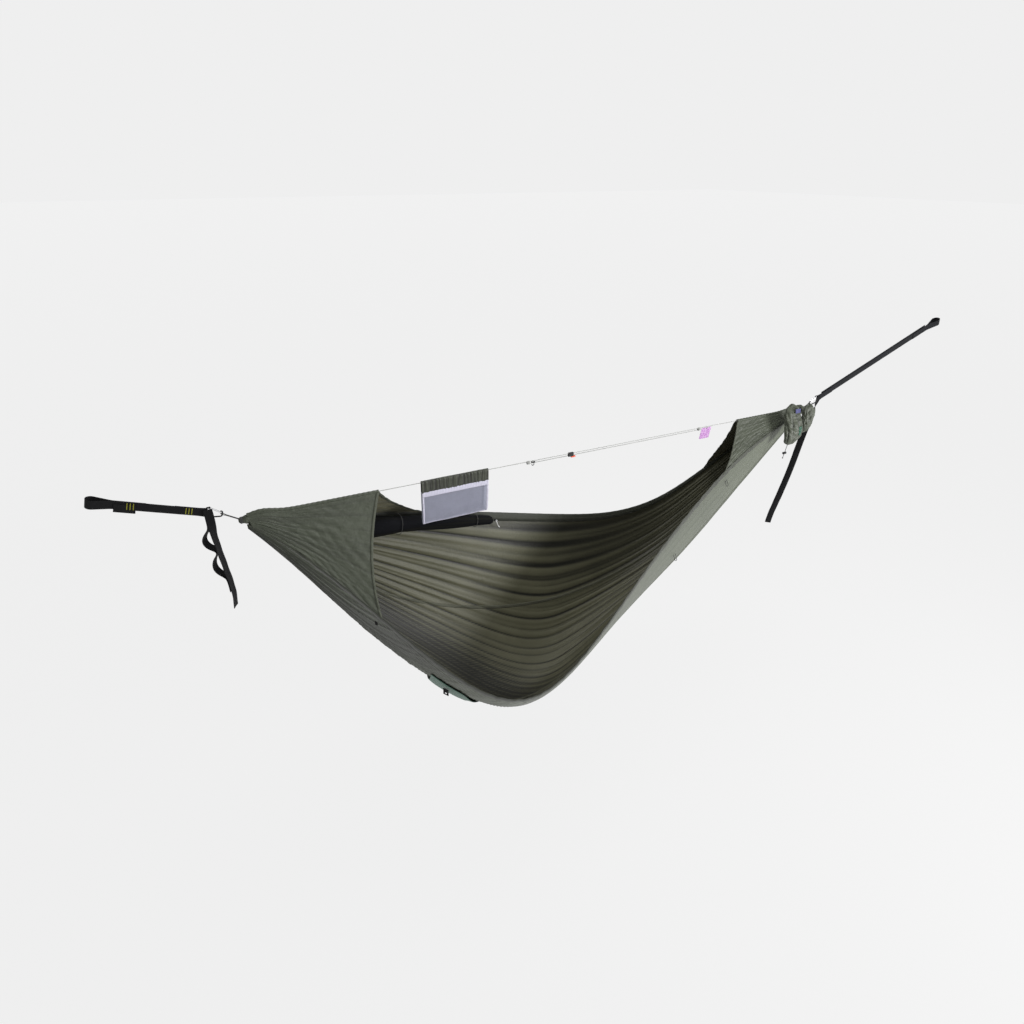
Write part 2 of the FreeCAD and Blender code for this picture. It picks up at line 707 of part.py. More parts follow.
build_bed()
build_hoods()
head_end = build_gather("head_gather", 1)
foot_end = build_gather("foot_gather", -1)
build_end_loop("head_end_loop", head_nose, head_end)
build_end_loop("foot_end_loop", foot_nose, foot_end)
build_strap("head", head_bar, head_dir, head_strap_length, (60.0, 122.0), (105.0, 275.0))
build_strap("foot", foot_bar, foot_dir, foot_strap_length, (70.0, foot_strap_length - 30.0), (542.0, 662.0))
build_carabiner("head", head_bar, head_dir, head_dir.cross(Y_AXIS))
build_carabiner("foot", foot_bar, foot_dir, foot_dir.cross(Y_AXIS) * -1)
build_tail("head", head_bar,
           [(8, -8, 14, 0), (8, -8, -12, 0), (7, -10, -38, 12), (6, -12, -75, 50), (6, -12, -115, 60),
            (8, -10, -170, 60), (10, -8, -230, 60), (13, -6, -290, 60), (15, -5, -345, 62),
            (12, -4, -385, 62), (6, -4, -head_tail_drop, 62)],
           [(-40, 0), (-54, 1), (-66, 8), (-85, 24), (-108, 36), (-130, 38), (-146, 26), (-153, 8),
            (-160, 0.5), (-172, 5), (-196, 22), (-222, 33), (-248, 34), (-268, 22), (-279, 6),
            (-290, 0.3), (-325, 0.3), (-350, 1)])
build_tail("foot", foot_bar,
           [(-4, -8, 12, 0), (-6, -8, -14, 0), (-8, -12, -44, 40), (-10, -11, -80, 85),
            (-12, -9, -120, 112), (-14, -6, -170, 120), (-8, -4, -290, 120), (-2, -2, -415, 122),
            (-9, -1, -550, 130), (-18, 0, -670, 140), (-22, 1, -725, 140), (-14, 3, -foot_tail_drop, 140)],
           [(-60, 0.5), (-110, 1.5), (-150, 7), (-190, 1.0), (-230, 0.5), (-262, 6), (-292, 15),
            (-322, 7), (-352, 0.5), (-400, 4), (-440, 0.5), (-500, 5), (-545, 0.5), (-600, 2)])
build_ridgeline()
build_tensioner()
build_tag()
build_organizer()
build_net()
build_tie_outs()
build_sack()
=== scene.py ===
import bpy
import bmesh
import math
import numpy as np
from mathutils import Matrix, Vector


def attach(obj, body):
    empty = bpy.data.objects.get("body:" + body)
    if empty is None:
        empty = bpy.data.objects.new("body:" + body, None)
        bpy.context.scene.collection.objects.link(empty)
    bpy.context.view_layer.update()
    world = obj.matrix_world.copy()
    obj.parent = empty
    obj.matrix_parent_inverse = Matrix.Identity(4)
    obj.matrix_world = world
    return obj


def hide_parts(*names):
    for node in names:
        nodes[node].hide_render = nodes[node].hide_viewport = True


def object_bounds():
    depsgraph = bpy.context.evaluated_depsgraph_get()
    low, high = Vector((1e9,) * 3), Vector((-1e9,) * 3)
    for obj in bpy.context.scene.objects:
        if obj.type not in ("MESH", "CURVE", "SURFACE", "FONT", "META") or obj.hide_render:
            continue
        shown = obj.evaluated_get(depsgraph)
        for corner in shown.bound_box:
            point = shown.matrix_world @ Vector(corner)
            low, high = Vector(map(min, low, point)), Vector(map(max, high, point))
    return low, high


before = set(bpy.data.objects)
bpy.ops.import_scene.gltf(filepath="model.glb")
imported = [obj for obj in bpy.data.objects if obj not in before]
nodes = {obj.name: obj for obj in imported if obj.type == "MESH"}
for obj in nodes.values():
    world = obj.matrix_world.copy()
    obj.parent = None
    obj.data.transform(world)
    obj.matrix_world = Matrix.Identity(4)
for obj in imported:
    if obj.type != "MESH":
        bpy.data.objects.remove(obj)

cad_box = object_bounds()
TURN = 2 * math.pi

# The hammock is laid out in metres from the head gather's tip, which is here in the part's frame.
GATHER = np.array([0.41261, 0.0, -0.16111])


def placed(x, y, z):
    """A point measured from the head gather's tip, in the part's frame."""
    return Vector((x, y, z)) + Vector(GATHER)


# ---------------------------------------------------------------- camera
camera_data = bpy.data.cameras.new("camera")
camera_data.lens = 18.77
camera_data.sensor_width = 36.0
camera_data.shift_x = 0.0527
camera = bpy.data.objects.new("camera", camera_data)
camera.location = placed(0.1230, -1.746, 1.0480)
camera.rotation_euler = (math.radians(57), 0, math.radians(-22))
bpy.context.scene.collection.objects.link(camera)
bpy.context.scene.camera = camera


# ---------------------------------------------------------------- shader building
def add(tree, kind, inputs=(), **settings):
    """One shader node with its settings, and its inputs set to a number or linked to a socket."""
    made = tree.nodes.new("ShaderNode" + kind)
    for key, value in settings.items():
        setattr(made, key, value)
    for key, value in dict(inputs).items():
        if isinstance(value, bpy.types.NodeSocket):
            tree.links.new(value, made.inputs[key])
        else:
            made.inputs[key].default_value = value
    return made


def sums(tree, operation, *values):
    """A Math node's result."""
    return add(tree, "Math", dict(enumerate(values)), operation=operation).outputs[0]


def dye(red, green, blue):
    """A colour given as it looks, from 0 to 255, as a shader takes it."""
    return (*[((c / 255 + 0.055) / 1.055) ** 2.4 if c > 10 else c / 3294 for c in (red, green, blue)], 1.0)


def blend(tree, share, first, second):
    """Two colours mixed, with 0 the first and 1 the second."""
    return add(tree, "Mix", {0: share, 6: first, 7: second}, data_type="RGBA").outputs[2]


def parts_of(tree, vector):
    """A vector's three numbers."""
    return add(tree, "SeparateXYZ", {0: vector}).outputs


def ribs(tree, value, pitch):
    """A sine wave along a value, a pitch long."""
    return sums(tree, "SINE", sums(tree, "MULTIPLY", value, TURN / pitch))


def blank(name, roughness, **sockets):
    """A material with its Principled shader; socket names are written with underscores."""
    material = bpy.data.materials.new(name)
    material.use_nodes = True
    shader = material.node_tree.nodes["Principled BSDF"]
    shader.inputs["Roughness"].default_value = roughness
    for key, value in sockets.items():
        shader.inputs[key.replace("_", " ")].default_value = value
    return material, material.node_tree, shader


def bumped(tree, shader, height, distance, strength=0.6):
    bump = add(tree, "Bump", {"Height": height, "Distance": distance, "Strength": strength})
    tree.links.new(bump.outputs["Normal"], shader.inputs["Normal"])


def mottle(tree, coords, scale, low, high, detail=4.0, stretch=(1, 1, 1)):
    """Soft uneven colour between two dyes."""
    moved = add(tree, "Mapping", {"Vector": coords, "Scale": stretch}).outputs[0]
    noise = add(tree, "TexNoise", {"Vector": moved, "Scale": scale, "Detail": detail, "Roughness": 0.6})
    return blend(tree, noise.outputs[0], low, high)


def near_line(tree, value, pitch, share):
    """1 on thin lines a pitch apart, and 0 between them."""
    wave = sums(tree, "PINGPONG", sums(tree, "MULTIPLY", value, 1 / pitch), 0.5)
    return sums(tree, "LESS_THAN", wave, share / 2)


def painted_crease_shade(tree, colour, depth):
    """Colour with painted shade: darker down in the creases of the cloth, as far as the crease attribute
    goes.
    """
    crease = add(tree, "Attribute", attribute_name="crease").outputs["Fac"]
    amount = sums(tree, "MULTIPLY", crease, depth)
    # dye(22, 22, 16) is the colour of the painted crease shade
    return blend(tree, amount, colour, dye(22, 22, 16))


def nylon(name, low, high, depth=0.75, roughness=0.52, crinkle=1.0):
    """Ripstop nylon: a fine weave with thicker threads every 6 mm, small crinkles, uneven dye, and painted
    shade down in its creases as strong as depth.
    """
    material, tree, shader = blank(name, roughness, Sheen_Weight=0.12, Sheen_Roughness=0.4)
    place = add(tree, "TexCoord").outputs
    u, v, _ = parts_of(tree, place["UV"])
    ripstop = sums(tree, "MAXIMUM", near_line(tree, u, 0.006, 0.11), near_line(tree, v, 0.006, 0.11))
    weave = sums(tree, "MULTIPLY", ribs(tree, u, 0.0009), ribs(tree, v, 0.0009))
    tone = mottle(tree, place["Object"], 5.0, low, high)
    tone = blend(tree, sums(tree, "MULTIPLY", ripstop, 0.22), tone, low)
    # painted shade: the colour darkens down in the cloth's creases
    tree.links.new(painted_crease_shade(tree, tone, depth), shader.inputs["Base Color"])
    creases = {"Vector": place["Object"], "Scale": 55.0, "Detail": 5.0, "Roughness": 0.55}
    crinkles = add(tree, "TexNoise", creases, noise_type="RIDGED_MULTIFRACTAL").outputs[0]
    threads = sums(tree, "ADD", sums(tree, "MULTIPLY", ripstop, 0.14), sums(tree, "MULTIPLY", weave, 0.05))
    height = sums(tree, "ADD", sums(tree, "MULTIPLY", crinkles, 1.3 * crinkle), threads)
    bumped(tree, shader, height, 0.0011)
    return material


def stitched(name, low, high, width, rows):
    """Folded hem or tape: a tight weave with rows of stitches, whose places are shares of the width."""
    material, tree, shader = blank(name, 0.62, Sheen_Weight=0.1)
    place = add(tree, "TexCoord").outputs
    u, v, _ = parts_of(tree, place["UV"])
    stitches = 0.0
    for share in rows:
        off = sums(tree, "ABSOLUTE", sums(tree, "SUBTRACT", u, share * width))
        row = sums(tree, "LESS_THAN", off, 0.0005)
        stitches = sums(tree, "MAXIMUM", stitches, row)
    step = sums(tree, "PINGPONG", sums(tree, "MULTIPLY", v, 1 / 0.003), 0.5)
    dash = sums(tree, "GREATER_THAN", step, 0.14)
    stitches = sums(tree, "MULTIPLY", stitches, dash)
    rib = ribs(tree, v, 0.0012)
    tone = mottle(tree, place["Object"], 9.0, low, high)
    thread = tuple(min(1.0, c * 1.9) for c in high[:3]) + (1.0,)
    tone = blend(tree, sums(tree, "MULTIPLY", stitches, 0.55), tone, thread)
    tree.links.new(tone, shader.inputs["Base Color"])
    pucker = add(tree, "TexNoise", {"Vector": place["Object"], "Scale": 120.0, "Detail": 3.0}).outputs[0]
    ground = sums(tree, "ADD", pucker, sums(tree, "MULTIPLY", rib, 0.07))
    height = sums(tree, "ADD", sums(tree, "MULTIPLY", stitches, 0.5), ground)
    bumped(tree, shader, height, 0.0012)
    return material


def webbing(name, low, high, slope=None):
    """Polyester webbing: weft ribs across it and warp columns along it, on the UV map or along a slope,
    with painted shade down in the grooves between them.
    """
    material, tree, shader = blank(name, 0.85, Sheen_Weight=0.03, Specular_IOR_Level=0.2)
    place = add(tree, "TexCoord").outputs
    if slope is None:
        across, along, _ = parts_of(tree, place["UV"])
    else:
        rotation = (0, math.radians(slope), 0)
        turned = add(tree, "Mapping", {"Vector": place["Object"], "Rotation": rotation}).outputs[0]
        along, _, across = parts_of(tree, turned)
    columns = ribs(tree, across, 0.0048)
    column = sums(tree, "ABSOLUTE", columns)
    shift = sums(tree, "MULTIPLY", sums(tree, "SIGN", columns), 1.2)
    rib = sums(tree, "SINE", sums(tree, "ADD", sums(tree, "MULTIPLY", along, TURN / 0.0021), shift))
    fuzz = add(tree, "TexNoise", {"Vector": place["Object"], "Scale": 900.0, "Detail": 2.0}).outputs[0]
    weave = sums(tree, "MULTIPLY", column, sums(tree, "ADD", sums(tree, "MULTIPLY", rib, 0.35), 0.65))
    worn = mottle(tree, place["Object"], 25.0, low, high)
    # painted shade: the colour falls to the low dye down in the grooves of the weave
    tone = blend(tree, weave, low, worn)
    tree.links.new(tone, shader.inputs["Base Color"])
    bumped(tree, shader, sums(tree, "ADD", weave, sums(tree, "MULTIPLY", fuzz, 0.4)), 0.0006, 0.8)
    return material


def braid(name, low, high, pitch=0.0032):
    """Braided cord: two sets of slanting strands that cross, with painted shade down between the strands.
    """
    material, tree, shader = blank(name, 0.6, Sheen_Weight=0.2)
    place = add(tree, "TexCoord").outputs
    x, y, z = parts_of(tree, place["Object"])
    across = sums(tree, "ADD", y, z)
    one = ribs(tree, sums(tree, "ADD", x, across), pitch)
    other = ribs(tree, sums(tree, "SUBTRACT", x, across), pitch)
    strands = sums(tree, "MAXIMUM", one, other)
    # painted shade: darker down between the strands
    tone = blend(tree, sums(tree, "MULTIPLY_ADD", strands, 0.5, 0.5), low, high)
    tree.links.new(tone, shader.inputs["Base Color"])
    bumped(tree, shader, strands, 0.0004, 0.8)
    return material


def moulded(name, low, high, roughness, metallic=0.0, grain=350.0, coat=0.0):
    """Plastic or metal with a fine grain and a little wear."""
    material, tree, shader = blank(name, roughness, Metallic=metallic, Coat_Weight=coat)
    place = add(tree, "TexCoord").outputs
    tree.links.new(mottle(tree, place["Object"], 60.0, low, high), shader.inputs["Base Color"])
    noise = add(tree, "TexNoise", {"Vector": place["Object"], "Scale": grain, "Detail": 3.0}).outputs[0]
    rough = add(tree, "MapRange", {0: noise, 3: roughness * 0.75, 4: min(1.0, roughness * 1.3)}).outputs[0]
    tree.links.new(rough, shader.inputs["Roughness"])
    bumped(tree, shader, noise, 0.0002, 0.4)
    return material


def netting(name, low, high):
    """Fine knitted net, seen as many small holes in dark cloth, with painted shade down in its folds."""
    material, tree, shader = blank(name, 0.9, Specular_IOR_Level=0.15)
    place = add(tree, "TexCoord").outputs
    u, v, _ = parts_of(tree, place["UV"])
    holes = sums(tree, "MULTIPLY", ribs(tree, u, 0.0026), ribs(tree, v, 0.0026))
    streak = mottle(tree, place["UV"], 30.0, low, high, stretch=(1.0, 0.12, 1.0))
    # painted shade darkens the net's streaked colour down in its folds
    tree.links.new(painted_crease_shade(tree, streak, 0.8), shader.inputs["Base Color"])
    bumped(tree, shader, holes, 0.0008, 0.5)
    return material


def printed_tag(name):
    """Small woven tag: a soft pink ground with a pale pattern of cells."""
    material, tree, shader = blank(name, 0.6, Sheen_Weight=0.1)
    place = add(tree, "TexCoord").outputs
    edges = add(tree, "TexVoronoi", {"Vector": place["Object"], "Scale": 62.0}, feature="DISTANCE_TO_EDGE")
    pale = sums(tree, "LESS_THAN", edges.outputs[0], 0.09)
    tone = blend(tree, sums(tree, "MULTIPLY", pale, 0.6), dye(168, 112, 176), dye(206, 178, 210))
    tree.links.new(tone, shader.inputs["Base Color"])
    weave = add(tree, "TexNoise", {"Vector": place["Object"], "Scale": 1500.0}).outputs[0]
    bumped(tree, shader, sums(tree, "ADD", weave, pale), 0.0002, 0.5)
    return material


# depth is how strongly painted shade darkens each nylon down in its creases
outer_shell = nylon("olive_shell", dye(70, 76, 62), dye(90, 95, 79))
inner_shell = nylon("olive_inner", dye(74, 74, 56), dye(100, 99, 78), depth=1.0)
hood_cloth = nylon("hood_shell", dye(54, 59, 47), dye(72, 77, 62), depth=0.6, crinkle=1.8)
hood_lining = nylon("hood_lining", dye(88, 87, 68), dye(112, 109, 88), depth=0.6)
sleeve_nylon = nylon("sleeve_nylon", dye(46, 49, 40), dye(66, 69, 56), depth=0.9)
hood_hem = stitched("hood_hem", dye(52, 56, 44), dye(72, 76, 61), 0.026, (0.15, 0.85))
green_cloth = nylon("green_layer", dye(8, 62, 44), dye(18, 86, 62), depth=0.5)
# the rolled rim is the bed's own cloth, dyed darker here as painted shade along the rim
shade_painted_hem_cloth = stitched("rim_hem", dye(32, 34, 26), dye(50, 53, 41), 0.036, (0.12, 0.88))
tape_cloth = stitched("seam_tape", dye(58, 59, 46), dye(80, 81, 65), 0.014, (0.2, 0.8))
black_webbing = webbing("black_webbing", dye(7, 7, 9), dye(24, 24, 27))
head_webbing = webbing("head_webbing", dye(8, 8, 10), dye(28, 28, 31), -19.8)
foot_webbing = webbing("foot_webbing", dye(10, 11, 14), dye(32, 34, 40), 24.6)
tack_thread = webbing("tack_thread", dye(112, 112, 30), dye(196, 196, 80), -19.8)
dark_cord = braid("dark_cord", dye(18, 18, 18), dye(52, 52, 50))
grey_cord = braid("grey_cord", dye(120, 121, 118), dye(186, 187, 184))
net_cloth = netting("insect_net", dye(4, 5, 7), dye(15, 16, 21))
pocket_mesh = moulded("pocket_mesh", dye(158, 160, 176), dye(188, 190, 206), 0.7)
pocket_cloth = nylon("pocket_cloth", dye(146, 148, 164), dye(176, 178, 194), depth=0.25)
pocket_hem = stitched("pocket_hem", dye(182, 180, 198), dye(212, 210, 226), 0.014, (0.25, 0.75))
anodised = moulded("anodised_bar", dye(20, 20, 22), dye(42, 42, 45), 0.38, metallic=0.85)
steel_wire = moulded("steel_wire", dye(176, 178, 182), dye(214, 215, 218), 0.25, metallic=1.0)
black_plastic = moulded("black_plastic", dye(10, 10, 12), dye(26, 26, 28), 0.55)
orange_plastic = moulded("orange_plastic", dye(216, 66, 26), dye(238, 92, 44), 0.35, coat=0.3)
tag_print = printed_tag("tag_print")
label_cloth = nylon("label_cloth", dye(24, 28, 82), dye(44, 50, 118), depth=0.2)
white_pull = moulded("white_pull", dye(206, 206, 208), dye(236, 236, 236), 0.55)


# ---------------------------------------------------------------- making a piece
def skin(name, columns, rows, shape, size, body, materials, thickness=0.0, closed=False):
    """A sheet whose points shape(across, along) gives, with a UV map in real metres.
    shape takes two rows of numbers from 0 to 1 and returns the points and how deep in a crease each is,
    kept as the crease attribute from which the nylon and net colours get painted shade."""
    bm = bmesh.new()
    plan = bm.loops.layers.uv.new("cloth")
    painted_shade_layer = bm.verts.layers.float.new("crease")
    bmesh.ops.create_grid(bm, x_segments=columns, y_segments=rows, size=0.5)
    for face in bm.faces:
        for corner in face.loops:
            corner[plan].uv = ((corner.vert.co.x + 0.5) * size[0], (corner.vert.co.y + 0.5) * size[1])
    flat = np.array([vert.co for vert in bm.verts]) + 0.5
    points, creases = shape(flat[:, 0], flat[:, 1])
    for vert, point, crease in zip(bm.verts, points, np.broadcast_to(creases, len(points))):
        vert.co = point
        vert[painted_shade_layer] = crease
    if closed:
        bmesh.ops.remove_doubles(bm, verts=bm.verts, dist=1e-5)
        bmesh.ops.recalc_face_normals(bm, faces=bm.faces)
    return finished(name, bm, body, materials, thickness)


def finished(name, bm, body, materials, thickness=0.0):
    """The object made from a bmesh: smooth, with its materials and body."""
    mesh = bpy.data.meshes.new(name)
    bm.to_mesh(mesh)
    bm.free()
    mesh.shade_smooth()
    for material in materials:
        mesh.materials.append(material)
    piece = bpy.data.objects.new(name, mesh)
    bpy.context.scene.collection.objects.link(piece)
    if thickness:
        wall = piece.modifiers.new("wall", "SOLIDIFY")
        wall.thickness = thickness
        wall.offset = 0.0
        wall.material_offset = len(materials) - 1
    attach(piece, body)
    return piece


def smoothstep(low, high, value):
    share = np.clip((value - low) / (high - low), 0, 1)
    return share * share * (3 - 2 * share)


def spline_at(poles, share):
    """Points of a cubic curve that starts and ends at its outer poles and is drawn towards the others."""
    poles = np.array(poles, float)
    share = np.clip(np.asarray(share, float), 0, 1 - 1e-9)
    count = len(poles)
    knots = np.concatenate([[0] * 3, np.linspace(0, 1, count - 2), [1] * 3])
    weights = [((knots[i] <= share) & (share < knots[i + 1])).astype(float) for i in range(count + 3)]
    for degree in (1, 2, 3):
        for i in range(count + 3 - degree):
            rise = knots[i + degree] - knots[i]
            fall = knots[i + degree + 1] - knots[i + 1]
            left = (share - knots[i]) / rise * weights[i] if rise > 0 else 0.0
            right = (knots[i + degree + 1] - share) / fall * weights[i + 1] if fall > 0 else 0.0
            weights[i] = left + right
    return np.stack(weights[:count], -1) @ poles


def folds(across, along, count, seed):
    """Height from 0 to 1 of long folds: rounded crowns and sharp valleys that drift, fade and merge."""
    rng = np.random.default_rng(seed)
    height = 0.0
    total = 0.0
    for share in (1.0, 0.63, 1.58, 2.4):
        start, drift, swing, fade = rng.uniform(0, TURN, 4)
        phase = math.pi * count * share * across + start
        phase = phase + 0.9 * np.sin(2.6 * along + drift + 3.0 * across) + 0.4 * np.sin(7.1 * along + swing)
        weight = (0.6 + 0.4 * np.sin(13.0 * across + 5.0 * along + fade)) / share
        height = height + weight * np.abs(np.sin(phase))
        total += 0.82 / share
    return np.clip(height / total, 0, 1)


def crumple(u, v, size, seed):
    """Height from about -1 to 1 of small crossing creases, on real metres of cloth."""
    rng = np.random.default_rng(seed)
    height = 0.0
    bend = np.sin(u / size * 0.9 + 1.3) + np.sin(v / size * 0.7 + 0.4)
    for _ in range(7):
        angle, start, bias = rng.uniform(0, TURN, 3)
        pitch = size * rng.uniform(0.6, 1.8)
        phase = (u * math.cos(angle) + v * math.sin(angle)) / pitch * math.pi
        phase = phase + start + 0.8 * bend * math.cos(bias)
        height = height + (np.abs(np.sin(phase)) - 0.64) * pitch / size
    return height / 3.2


def across_surface(surface, a, b, step=1e-3):
    """Unit normal of a surface function of two shares."""
    over = surface(a + step, b) - surface(a - step, b)
    down = surface(a, b + step) - surface(a, b - step)
    normal = np.cross(down, over)
    return normal / np.maximum(np.linalg.norm(normal, axis=-1, keepdims=True), 1e-9)


# ---------------------------------------------------------------- the bed
near_poles = np.array([(0, -10, -10), (105, -50, -70), (320, -235, -250), (575, -515, -515),
                       (850, -635, -735),
                       (1180, -530, -680), (1585, -345, -445), (1990, -190, -240), (2315, -90, -105),
                       (2570, -40, -45), (2740, -10, -5)]) / 1000 + GATHER
far_poles = np.array([(0, 10, -10), (135, 50, -55), (375, 110, -135), (705, 150, -230), (1095, 160, -340),
                      (1505, 210, -485), (1895, 270, -610), (2205, 245, -560), (2425, 175, -330),
                      (2600, 90, -115), (2740, 10, -5)]) / 1000 + GATHER
sag_poles = np.array([(-0, 12), (-30, 130), (-24, 375), (-20, 440), (-5, 430), (8, 450),
                      (16, 445), (30, 430),
                      (20, 335), (0, 170), (0, 12)]) / 1000


def bed_base(v, t):
    """The loaded bed without its folds: v runs from the near rim to the far one, t from head to foot."""
    near = spline_at(near_poles, t)
    far = spline_at(far_poles, t)
    sag = spline_at(sag_poles, t)
    belly = sag[..., 0]
    drop = sag[..., 1]
    depth = 1 - np.abs(2 * v - 1) ** 2.4
    lean = v * (1 - v) ** 2 * 6.75
    point = near + (far - near) * v[..., None]
    point[..., 1] -= belly * lean
    point[..., 2] -= drop * depth
    return point


def bed_lifted(v, t, lift):
    """The bed moved along its normal, towards the inside."""
    inside = across_surface(bed_base, np.clip(v, 0.002, 0.998), np.clip(t, 0.002, 0.998))
    return bed_base(v, t) + inside * np.asarray(lift)[..., None]


cut_width = 1.37
stations = np.linspace(0.004, 0.996, 90)
lines = bed_base(np.tile(np.linspace(0, 1, 60), (90, 1)), np.tile(stations[:, None], (1, 60)))
girths = np.linalg.norm(np.diff(lines, axis=1), axis=-1).sum(1)
fold_count = 70


def fold_depth(t):
    """How deep the folds are where the cloth is gathered to less than its cut width."""
    girth = np.interp(t, stations, girths)
    spare = np.maximum(cut_width / girth - 1, 0.04)
    return np.minimum(girth / fold_count / math.pi * np.sqrt(spare) * 4.6, 0.014)


def bed_folds(v, t):
    """Lift of the cloth above the bed's base, and how deep in a crease it is, which sets the painted shade
    there.
    """
    slanted = v + 0.55 * (1 - v) * smoothstep(0.04, 0.50, t)
    height = folds(slanted, t, fold_count, 4)
    calm = 1 - 0.82 * smoothstep(0.30, 0.22, v) * smoothstep(0.34, 0.46, t)
    middle = smoothstep(0.36, 0.48, t) * smoothstep(0.80, 0.70, t) * smoothstep(0.72, 0.55, v)
    calm = calm * (1 - 0.25 * middle)
    # shade: how strong the painted crease shade is along the bed, strongest at the head and weakest at the
    # foot
    shade = np.interp(t, [0.0, 0.45, 0.72, 0.88, 1.0], [1.2, 1.1, 0.7, 0.35, 0.3])
    edge = smoothstep(0.0, 0.03, v) * smoothstep(1.0, 0.97, v)
    depth = fold_depth(t) * calm * edge
    ends = smoothstep(0, 0.15, t) * smoothstep(1, 0.85, t)
    wave = 0.004 * np.sin(9 * v + 5 * t) * np.sin(7 * t + 2) * edge * ends
    lift = depth * (height - 0.62) + wave
    # crease: painted shade down in the fold valleys
    crease = smoothstep(0.60, 0.16, height) * np.clip(depth / 0.003, 0, 1) * shade
    return lift, crease


def bed_panel(name, v_from, v_to, columns, rows, cut):
    def shape(across, along):
        v = v_from + (v_to - v_from) * across
        t = 0.006 + 0.988 * along
        lift, crease = bed_folds(v, t)
        return bed_lifted(v, t, lift), crease

    panel = skin(name, columns, rows, shape, cut, "hammock", [outer_shell, inner_shell], 0.0008)
    return panel


def bed_strip(name, v_from, v_to, t_from, t_to, width, material, side):
    """Flat-felled seam or tape that lies on the bed's folds, inside (1) or outside (-1)."""
    def shape(across, along):
        v = v_from + (v_to - v_from) * across
        t = t_from + (t_to - t_from) * along
        lift, crease = bed_folds(v, t)
        crown = 0.0007 + 0.0009 * np.sin(math.pi * across)
        return bed_lifted(v, t, lift + side * crown), crease * 0.5

    return skin(name, 4, 420, shape, (width, 3.4), "hammock", [material], 0.0005)


def rim_hem(name, rim, inward, replaced):
    """Rolled hem: the edge of the cloth turned over a thick fold and sewn down on both sides."""
    def shape(across, along):
        t = 0.012 + 0.976 * along
        turn = math.pi * across
        out = 1 - np.abs(np.sin(turn)) ** 0.7
        wide = 0.014 * smoothstep(0, 0.08, t) * smoothstep(1, 0.92, t) + 0.003
        v = rim + inward * (wide * out - 0.0012)
        ripple = 0.0006 * np.sin(t * 260) + 0.0005 * np.sin(t * 410 + 1)
        lift = np.cos(turn) * (0.0026 + 0.0012 * np.sin(math.pi * across * 2) ** 2) + ripple
        return bed_lifted(v, t, lift), 0.0 * t

    # its cloth is darker than the bed's, as painted shade along the rim
    hem = skin(name, 12, 420, shape, (0.036, 3.3), "hammock", [shade_painted_hem_cloth], 0.0006)
    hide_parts(replaced)
    return hem


near_panel = bed_panel("near_panel", 0.0, 0.24, 110, 200, (0.33, 3.46))
middle_panel = bed_panel("middle_panel", 0.24, 0.76, 270, 170, (0.71, 3.62))
far_panel = bed_panel("far_panel", 0.76, 1.0, 110, 200, (0.33, 3.30))
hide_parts("bed_near_panel")
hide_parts("bed_center_panel")
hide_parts("bed_far_panel")
rim_hem("near_hem", 0.0, 1, "near_rim_hem")
rim_hem("far_hem", 1.0, -1, "far_rim_hem")
bed_strip("near_seam", 0.2345, 0.2455, 0.03, 0.97, 0.014, tape_cloth, 1)
bed_strip("far_seam", 0.7545, 0.7655, 0.03, 0.97, 0.014, tape_cloth, 1)
bed_strip("near_seam_outside", 0.2345, 0.2455, 0.03, 0.97, 0.014, tape_cloth, -1)


def under_shape(across, along):
    t = 0.235 + 0.225 * along
    near_edge = 0.09 + 0.17 * smoothstep(0.28, 0.33, t)
    v = near_edge + (0.62 - near_edge) * across
    edge = np.sin(math.pi * np.clip(across, 0, 1)) ** 0.5 * np.sin(math.pi * np.clip(along, 0, 1)) ** 0.5
    wrinkle = 0.006 * crumple(across * 0.62, along * 0.62, 0.14, 8) * edge
    slack = 0.024 * np.exp(-((t - 0.275) / 0.045) ** 2 - ((v - 0.27) / 0.12) ** 2)
    point = bed_lifted(v, t, -0.009 - 0.006 * edge + wrinkle)
    point[:, 2] -= slack
    return point, 0.0 * v


under = skin("under_cloth", 90, 120, under_shape, (0.55, 0.56), "hammock",
             [green_cloth], 0.0008)
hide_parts("under_layer")


